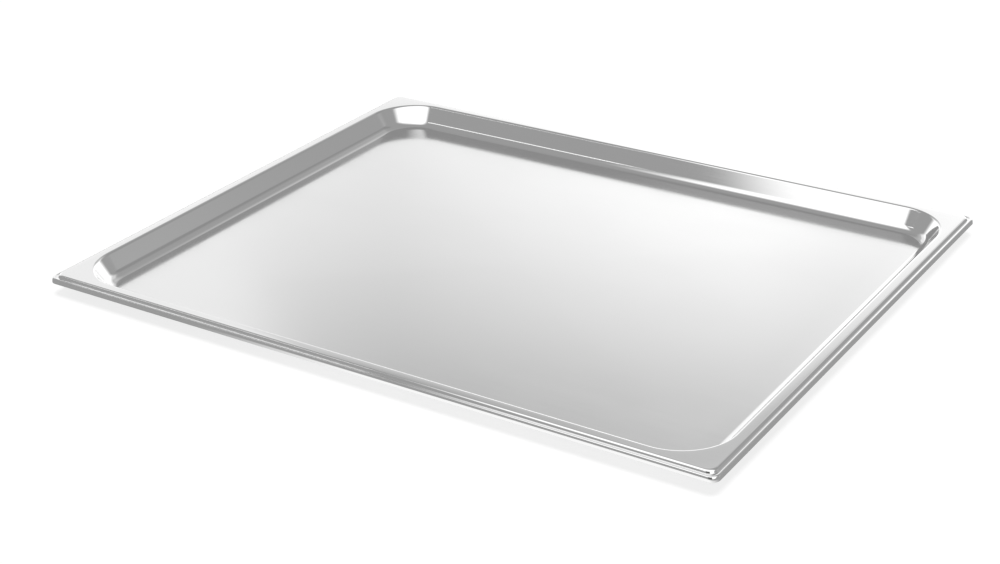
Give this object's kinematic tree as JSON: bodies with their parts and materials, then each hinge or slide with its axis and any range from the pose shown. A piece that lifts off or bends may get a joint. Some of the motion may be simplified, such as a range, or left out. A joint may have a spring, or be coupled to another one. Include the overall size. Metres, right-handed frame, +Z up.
{
  "type": "gastronorm pan",
  "caption": "Shallow rectangular stainless steel food pan with a flat coved base, wide rounded well corners and a stepped, down-turned rim that hangs it in racks and counters.",
  "frame": {"origin": "middle of the flat face that the pan rests on", "axes": "+X along the long side, +Y along the short side, +Z up, out of the well's mouth"},
  "size_m": [0.65, 0.53, 0.02],
  "materials": {
    "stainless_steel": "satin inside, brighter on the drawn walls and the rim"
  },
  "bodies": {
    "root": {"pan": "stainless_steel"}
  },
  "joints": []
}
